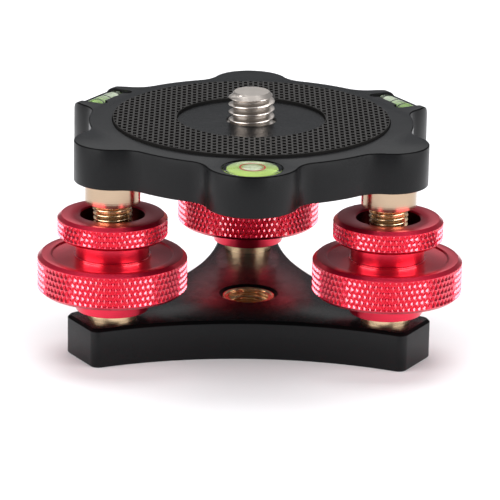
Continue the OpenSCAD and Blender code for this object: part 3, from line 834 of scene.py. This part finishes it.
def disc(name, radius, low, high, steps=ROUND):
    return revolved(name, [(0, low), (radius, low), (radius, high), (0, high)], steps, closed=False)


def mouth_cutter(name, outer, inner, low, lip):
    """Round groove open at the plate's top, chamfered at its mouth. Without an inner radius it is a well."""
    high = PLATE_TOP + 1
    outside = [(outer, low), (outer, PLATE_TOP - lip), (outer + lip + 1, high)]
    if not inner:
        return revolved(name, [(0, low)] + outside + [(0, high)], 128, closed=False)
    return revolved(name, [(inner, low)] + outside + [(inner - lip - 1, high), (inner, PLATE_TOP - lip)], 128)


def prism(name, section, low, high):
    """Straight prism of a closed section of (x, z) points, along Y."""
    bm = bmesh.new()
    ends = [[bm.verts.new((x, y, z)) for x, z in section] for y in (low, high)]
    bridge(bm, ends[0], ends[1])
    bm.faces.new(ends[0])
    bm.faces.new(ends[1])
    return closed_mesh(name, bm)


nose_section = [(NOSE_C + NOSE_R, PLATE_Z - 1)] + curve((NOSE_C, NOSE_Z), (NOSE_R, NOSE_R), 0, 90, 20) + [
    (NOSE_C, PLATE_TOP + 1), (NOSE_C + 8, PLATE_TOP + 1), (NOSE_C + 8, PLATE_Z - 1)]
pocket_r = VIAL_R + 0.1
pocket_x = VIAL_C - VIAL_R - POCKET_LIP
pocket_section = [
    (pocket_x, VIAL_Z - VIAL_R), (VIAL_C, VIAL_Z - pocket_r)
    ] + curve((VIAL_C, VIAL_Z), (pocket_r, pocket_r), -90, 0, 10)[1:] + [
    (VIAL_C + pocket_r, PLATE_TOP + 1), (pocket_x, PLATE_TOP + 1)]
cutters = []
for a in VIALS.values():
    swung = Matrix.Rotation(math.radians(a), 4, "Z")
    for name, section, half in (("nose", nose_section, NOSE_HALF), ("pocket", pocket_section, POCKET_HALF)):
        cutter = prism(name, section, -half, half)
        cutter.transform(swung)
        cutters.append(cutter)
    for side in (-1, 1):
        relief = disc("relief", RELIEF_R, RELIEF_Z, PLATE_TOP + 1, 32)
        relief.transform(swung @ Matrix.Translation((pocket_x, side * (POCKET_HALF - RELIEF_R), 0)))
        cutters.append(relief)
bullseye_place = polar(BULLSEYE_C, BULLSEYE_AT)
well_low = PLATE_TOP - BULLSEYE_DEPTH
bullseye_well = mouth_cutter("bullseye_well", BULLSEYE_R + 0.1, 0, well_low, 0.08)
bullseye_well.transform(Matrix.Translation((*bullseye_place, 0)))
grip_top = PLATE_TOP + GRIP_PROUD
grip_low = grip_top - GRIP_T
grip_groove = mouth_cutter("grip_groove", GRIP_R + 0.15, GRIP_BORE_R - 0.15, grip_low, 0.04)
screw_hole = revolved("screw_hole", [
    (0, FAR_BELOW), (CAMERA_SHANK_R, FAR_BELOW), (CAMERA_SHANK_R, PLATE_TOP - 0.1),
    (CAMERA_SHANK_R + 0.2, PLATE_TOP + 0.1), (0, PLATE_TOP + 0.1)], closed=False)
cutters += [bullseye_well, grip_groove, screw_hole, disc("flange_hole", FLANGE_HOLE_R, FAR_BELOW, FLANGE_TOP)]
for leg in LEGS:
    seat = disc("collar_seat", COLLAR_R, FAR_BELOW, COLLAR_TOP)
    seat.transform(Matrix.Translation((*leg_place(leg), 0)))
    cutters.append(seat)
plate = carved(plate_mesh("top_plate", plate_outline, PLATE_EDGE), cutters)
smooth(plate, 22)
plate.materials.clear()
for finish in (black_satin, black_gloss, black_edge_painted_shade):
    plate.materials.append(finish)
# The middle of the plate's top takes the glossy black, and the chamfers round its top beyond the grip ring
# take the darker black, painted shade.
for face in plate.polygons:
    middle = face.center.xy.length
    if face.normal.z > 0.9 and middle < GRIP_BORE_R and face.center.z > PLATE_TOP - 0.1:
        face.material_index = 1
    if 0.1 < face.normal.z < 0.9 and face.center.z > PLATE_TOP - 0.3 and middle > GRIP_R + 1:
        face.material_index = 2
piece("top_plate_milled", plate, "plate", None, "black_anodised", "top_plate")


# Grip ring: moulded rubber in a groove, standing a little proud. Its face is a weave of long ribs from front
# to back with short bars between them, which leave rows of small staggered pits, painted darker inside as
# shade.
RIB_PITCH = 1.08
BAR_PITCH = 2.1
STRAND_SHARE = 0.34
BAR_HEIGHT_SHARE = 0.9
PIT_DEPTH = 0.34
CELL_MARGIN = 0.6
weave, weave_in, weave_out = node_group("rubber_weave", "GeometryNodeTree", [
    ("Geometry", "Geometry", None), ("Inner radius", "Float", 15.5), ("Outer radius", "Float", 28.4),
    ("Floor", "Float", 0.0), ("Depth", "Float", PIT_DEPTH), ("Rib pitch", "Float", RIB_PITCH),
    ("Bar pitch", "Float", BAR_PITCH), ("Material", "Material", None), ("Pit painted shade", "Material", None)],
    [("Geometry", "Geometry")])
rib_pitch = weave_in["Rib pitch"]
bar_pitch = weave_in["Bar pitch"]
ring_inner = weave_in["Inner radius"]
ring_outer = weave_in["Outer radius"]
span = maths(weave, "MULTIPLY", ring_outer, 2)
columns = maths(weave, "CEIL", maths(weave, "DIVIDE", span, rib_pitch))
lines = maths(weave, "CEIL", maths(weave, "DIVIDE", span, bar_pitch))
cell = geo(weave, "InputIndex")
column = maths(weave, "FLOOR", maths(weave, "DIVIDE", cell, lines))
line = maths(weave, "MODULO", cell, lines)
column_from_middle = maths(weave, "SUBTRACT", column, maths(weave, "DIVIDE", columns, 2))
shifted_line = maths(weave, "ADD", line, maths(weave, "MULTIPLY", maths(weave, "MODULO", column, 2), 0.5))
line_from_middle = maths(weave, "SUBTRACT", shifted_line, maths(weave, "DIVIDE", lines, 2))
cell_place = join_xyz(
    weave, maths(weave, "MULTIPLY", column_from_middle, rib_pitch),
    maths(weave, "MULTIPLY", line_from_middle, bar_pitch),
    maths(weave, "MULTIPLY_ADD", weave_in["Depth"], 0.5, weave_in["Floor"]))
cells = geo(weave, "Points", {
    "Count": maths(weave, "MULTIPLY", columns, lines), "Position": cell_place})
spot = split_xyz(weave, geo(weave, "InputPosition"))
reach = from_axis(weave, spot["X"], spot["Y"])
too_near = maths(weave, "LESS_THAN", reach, maths(weave, "SUBTRACT", ring_inner, CELL_MARGIN))
too_far = maths(weave, "GREATER_THAN", reach, maths(weave, "ADD", ring_outer, CELL_MARGIN))
kept_cells = geo(weave, "DeleteGeometry", {
    "Geometry": cells, "Selection": maths(weave, "ADD", too_near, too_far)}, domain="POINT")
rib_size = join_xyz(weave, maths(weave, "MULTIPLY", rib_pitch, STRAND_SHARE), bar_pitch, weave_in["Depth"])
rib = geo(weave, "MeshCube", {"Size": rib_size, "Vertices Y": 5})
bar_size = join_xyz(weave, rib_pitch, maths(weave, "MULTIPLY", bar_pitch, STRAND_SHARE),
                    maths(weave, "MULTIPLY", weave_in["Depth"], BAR_HEIGHT_SHARE))
bar = geo(weave, "MeshCube", {"Size": bar_size})
beside_rib = join_xyz(weave, maths(weave, "MULTIPLY", rib_pitch, 0.5), 0, 0)
bar_set = geo(weave, "Transform", {"Geometry": bar, "Translation": beside_rib})
knots = geo(weave, "InstanceOnPoints", {
    "Points": kept_cells, "Instance": joined(weave, rib, bar_set)})
spread_out = geo(weave, "RealizeInstances", {"Geometry": knots})
held_in = wire(weave, "ShaderNodeClamp", {"Value": reach, "Min": ring_inner, "Max": ring_outer})
drawn_in = maths(weave, "DIVIDE", held_in, reach)
woven_place = join_xyz(weave, maths(weave, "MULTIPLY", spot["X"], drawn_in),
                       maths(weave, "MULTIPLY", spot["Y"], drawn_in), spot["Z"])
woven = geo(weave, "SetPosition", {"Geometry": spread_out, "Position": woven_place})
rib_dressed = geo(weave, "SetMaterial", {
    "Geometry": joined(weave, weave_in["Geometry"], woven), "Material": weave_in["Material"]})
# The weave's side walls and the pit floors take a darker rubber: painted shade in the pits.
facing = split_xyz(weave, geo(weave, "InputNormal"))["Z"]
sunk = maths(weave, "LESS_THAN", spot["Z"], maths(weave, "ADD", weave_in["Floor"], 0.02))
pit_shade_mask = maths(weave, "MAXIMUM", maths(weave, "LESS_THAN", facing, 0.5), sunk)
ring_dressed = geo(weave, "SetMaterial", {
    "Geometry": rib_dressed, "Selection": pit_shade_mask, "Material": weave_in["Pit painted shade"]})
weave.links.new(ring_dressed, weave_out["Geometry"])

rubber = material(
    "moulded_rubber", grain, (0.014, 0.0122, 0.011, 1), rough=0.6, depth=0.9, patchy=0.3,
    plain={"Specular IOR Level": 0.27}, grains=4.0)
# A darker copy of the rubber for the pits: painted shade.
rubber_pit_painted_shade = material(
    "rubber_pit_painted_shade", grain, (0.007, 0.0065, 0.006, 1), rough=0.7, depth=0.3, patchy=0.2,
    plain={"Specular IOR Level": 0.12}, grains=4.0)
grip_floor = grip_top - PIT_DEPTH
rim_z = grip_top - 0.03
grip_mesh = revolved("grip_ring", [
    (GRIP_BORE_R, grip_low), (GRIP_R, grip_low), (GRIP_R, grip_top - 0.1), (GRIP_R - 0.06, rim_z),
    (GRIP_R - 0.14, rim_z), (GRIP_R - 0.2, grip_floor), (GRIP_BORE_R + 0.2, grip_floor),
    (GRIP_BORE_R + 0.14, rim_z), (GRIP_BORE_R + 0.06, rim_z), (GRIP_BORE_R, grip_top - 0.1)], 160)
grip_mesh = grown(grip_mesh, weave, {
    "Inner radius": GRIP_BORE_R + 0.1, "Outer radius": GRIP_R - 0.1, "Floor": grip_floor,
    "Material": rubber, "Pit painted shade": rubber_pit_painted_shade})
piece("grip_ring_moulded", grip_mesh, "plate", None, "rubber", "grip_ring")


# Camera screw: stainless steel, three eighths of an inch with sixteen threads, held by a flange under
# the plate. Its top is turned flat with a wide chamfer, and its flange has a socket.
CAMERA_THREAD_R = 4.7625
CAMERA_ROOT_R = 3.85
CAMERA_TIP_R = 3.6
CAMERA_TIP_Z = 52.1
CAMERA_FLANGE_R = 8
CAMERA_FLANGE_Z = 37.7
CAMERA_SOCKET_R = 2.9
CAMERA_SOCKET_TOP = 40.7
SHANK_TOP = 45.4
screw_mesh = revolved("camera_screw", [
    (0, CAMERA_SOCKET_TOP), (CAMERA_SOCKET_R, CAMERA_SOCKET_TOP), (CAMERA_SOCKET_R, CAMERA_FLANGE_Z),
    (CAMERA_FLANGE_R - 0.1, CAMERA_FLANGE_Z), (CAMERA_FLANGE_R, CAMERA_FLANGE_Z + 0.1),
    (CAMERA_FLANGE_R, FLANGE_TOP), (CAMERA_SHANK_R, FLANGE_TOP), (CAMERA_SHANK_R, SHANK_TOP),
    (0, SHANK_TOP)], closed=False)
screw_mesh = grown(screw_mesh, thread, {
    "Major radius": CAMERA_THREAD_R, "Minor radius": CAMERA_ROOT_R, "Pitch": INCH_PITCH,
    "Bottom": SHANK_TOP - 0.1, "Top": CAMERA_TIP_Z, "Tip radius": CAMERA_TIP_R, "Material": steel_turned})
smooth(screw_mesh, 35)
piece("camera_screw_threaded", screw_mesh, "plate", steel_turned, "steel", "camera_screw")


# Round level: a clear cup with a low dome, filled with yellow-green liquid over a pale backing, with a thin
# red circle printed in the lid and a flat bubble under it. The liquid is painted paler towards the back, a
# painted reflection, and glows faintly, painted light.
# The pale liquid colours are painted reflections, blended in towards the back of each level.
LIQUID = (0.4, 0.57, 0.1, 1)
ROUND_LIQUID_PAINTED_REFLECTION = (0.42, 0.5, 0.3, 1)
VIAL_LIQUID = (0.4, 0.62, 0.16, 1)
VIAL_LIQUID_PAINTED_REFLECTION = (0.8, 0.84, 0.68, 1)
CUP_LOW = 41.3
CUP_BORE_R = 5.3
LID_UNDER = 45.35
FILL_R = 5.1
FILL_TOP = 45.4
DOME_R = 5.9
DOME_HEIGHT = 0.45
BACKING_T = 0.6
RING_R = 2.45
RING_HALF = 0.17
RING_LOW = 45.7
RING_HIGH = 45.76
BUBBLE_Z = 45.42
BUBBLE_R = 1.9
BUBBLE_HALF_T = 0.1


def glazed(name, colour, rough=0.4, transmission=0.0, ior=1.4, painted_glow=0.0, reflection_fade=None):
    """Clear or liquid finish. A reflection fade (from Y, to Y, far colour) blends it along the piece's own Y
    into the far colour, a painted reflection; a painted glow makes it glow, painted light.
    """
    made = material(
        name, grain, colour, rough=rough, depth=0.01, patchy=0.02,
        plain={"Transmission Weight": transmission, "IOR": ior}, grains=1.5)
    tree = made.node_tree
    shader = tree.nodes["Principled BSDF"]
    # Blends towards the paler far colour along Y: painted reflection.
    if reflection_fade:
        own = new_node(tree, "ShaderNodeAttribute", attribute_name="lathe").outputs["Vector"]
        share = wire(tree, "ShaderNodeMapRange", {
            "Value": split_xyz(tree, own)["Y"], "From Min": reflection_fade[0], "From Max": reflection_fade[1]})
        blend = new_node(tree, "ShaderNodeMix", {0: share, 6: colour, 7: reflection_fade[2]}, data_type="RGBA")
        tree.links.new(blend.outputs[2], shader.inputs["Base Color"])
    # A faint glow: painted light.
    if painted_glow:
        shader.inputs["Emission Color"].default_value = colour
        shader.inputs["Emission Strength"].default_value = painted_glow
    return made


clear = glazed("clear_acrylic", (0.95, 1, 0.96, 1), rough=0.03, transmission=1.0, ior=1.3)
# The liquids fade paler towards the back, painted reflection, and glow faintly, painted light.
liquid = glazed(
    "level_liquid", VIAL_LIQUID, rough=0.2, ior=1.36, painted_glow=0.03, reflection_fade=(16.0, 20.0, VIAL_LIQUID_PAINTED_REFLECTION))
round_liquid = glazed(
    "round_level_liquid", LIQUID, rough=0.2, ior=1.36, painted_glow=0.05, reflection_fade=(-1.5, 3.5, ROUND_LIQUID_PAINTED_REFLECTION))
bubble_skin = glazed("level_bubble", (0.55, 0.6, 0.42, 1), rough=0.15, ior=1.3)
red_print = glazed("red_print", (0.5, 0.03, 0.02, 1))
black_print = glazed("black_print", (0.01, 0.01, 0.01, 1))
pale_plastic = glazed("pale_plastic", (0.75, 0.82, 0.6, 1), ior=1.45)


def level_piece(name, mesh, sharp_over, finish, slot, *nodes, at=(0, 0), lay=Matrix()):
    """Smooths a part of a level, lays it down and puts it in the plate."""
    smooth(mesh, sharp_over)
    mesh.transform(lay)
    piece(name, mesh, "plate", finish, slot, *nodes, at=at)


dome = [(DOME_R * (1 - i / 12), PLATE_TOP + DOME_HEIGHT * (1 - (1 - i / 12) ** 2)) for i in range(13)]
cup_mesh = revolved("bullseye_cup", [
    (0, LID_UNDER), (CUP_BORE_R - 0.1, LID_UNDER - 0.15), (CUP_BORE_R, CUP_LOW), (BULLSEYE_R, CUP_LOW),
    (BULLSEYE_R, PLATE_TOP - 0.12)] + dome, closed=False)
level_piece("bullseye_cup_clear", cup_mesh, 40, clear, "clear_acrylic", "bullseye_body", at=bullseye_place)
fill_mesh = revolved("bullseye_fill", [
    (0, CUP_LOW), (FILL_R, CUP_LOW), (FILL_R, FILL_TOP - 0.1), (FILL_R - 0.2, FILL_TOP), (0, FILL_TOP)],
    closed=False)
level_piece("bullseye_fill_green", fill_mesh, 25, round_liquid, "spirit", "bullseye_liquid",
            at=bullseye_place)
back_mesh = disc("bullseye_back", BULLSEYE_R, well_low, well_low + BACKING_T)
level_piece("bullseye_back_disc", back_mesh, 25, pale_plastic, "white_plastic", "bullseye_backing",
            at=bullseye_place)
circle_mesh = revolved("bullseye_ring", [
    (RING_R - RING_HALF, RING_LOW), (RING_R + RING_HALF, RING_LOW),
    (RING_R + RING_HALF, RING_HIGH), (RING_R - RING_HALF, RING_HIGH)], 64)
level_piece("bullseye_ring_red", circle_mesh, 25, red_print, "red_anodised", at=bullseye_place)
bubble_mesh = revolved(
    "bullseye_bubble", curve((0, BUBBLE_Z), (BUBBLE_R, BUBBLE_HALF_T), -90, 90, 10), 48, closed=False)
level_piece("bullseye_bubble_flat", bubble_mesh, 80, bubble_skin, "clear_acrylic", at=bullseye_place)


# Tube levels: short clear vials across the two rear lobes, lying in pockets open to the top.
# Each has a bubble between two black rings, and yellow-green liquid painted paler at the far end, a painted
# reflection, with a faint painted glow.
VIAL_WALL = 0.5
VIAL_END = 1.0
MARK_AT = 1.6
MARK_HALF = 0.18
LONG_BUBBLE_R = 0.9
LONG_BUBBLE_HALF = 1.35
BUBBLE_RISE = 1.16
bore_r = VIAL_R - VIAL_WALL
bore_half = VIAL_HALF - VIAL_END
for side, a in VIALS.items():
    lay = (Matrix.Rotation(math.radians(a), 4, "Z") @ Matrix.Translation((VIAL_C, 0, VIAL_Z))
           @ Matrix.Rotation(math.radians(90), 4, "X"))
    shell = revolved(side + "_vial", [
        (0, -VIAL_HALF), (VIAL_R - 0.3, -VIAL_HALF), (VIAL_R, 0.3 - VIAL_HALF), (VIAL_R, VIAL_HALF - 0.3),
        (VIAL_R - 0.3, VIAL_HALF), (0, VIAL_HALF), (0, bore_half), (bore_r, bore_half - 0.1),
        (bore_r, 0.1 - bore_half), (0, -bore_half)], 64)
    fill = revolved(side + "_fill", [
        (0, 0.1 - bore_half), (bore_r - 0.1, 0.2 - bore_half), (bore_r - 0.1, bore_half - 0.2),
        (0, bore_half - 0.1)], 48, closed=False)
    bubble = revolved(
        side + "_bubble", curve((0, 0), (LONG_BUBBLE_R, LONG_BUBBLE_HALF), -90, 90, 12), 32, closed=False)
    risen = lay @ Matrix.Translation((0, BUBBLE_RISE, 0))
    level_piece(side + "_vial_clear", shell, 40, clear, "clear_acrylic", side + "_vial", lay=lay)
    level_piece(side + "_fill_green", fill, 40, liquid, "spirit", side + "_vial_liquid", lay=lay)
    level_piece(side + "_bubble_long", bubble, 80, bubble_skin, "clear_acrylic", lay=risen)
    for index, along in enumerate((-MARK_AT, MARK_AT)):
        band = revolved(side + "_mark", [
            (bore_r - 0.08, along - MARK_HALF), (bore_r - 0.02, along - MARK_HALF),
            (bore_r - 0.02, along + MARK_HALF), (bore_r - 0.08, along + MARK_HALF)], 48)
        level_piece(f"{side}_mark_{index}", band, 25, black_print, "black_anodised", lay=lay)
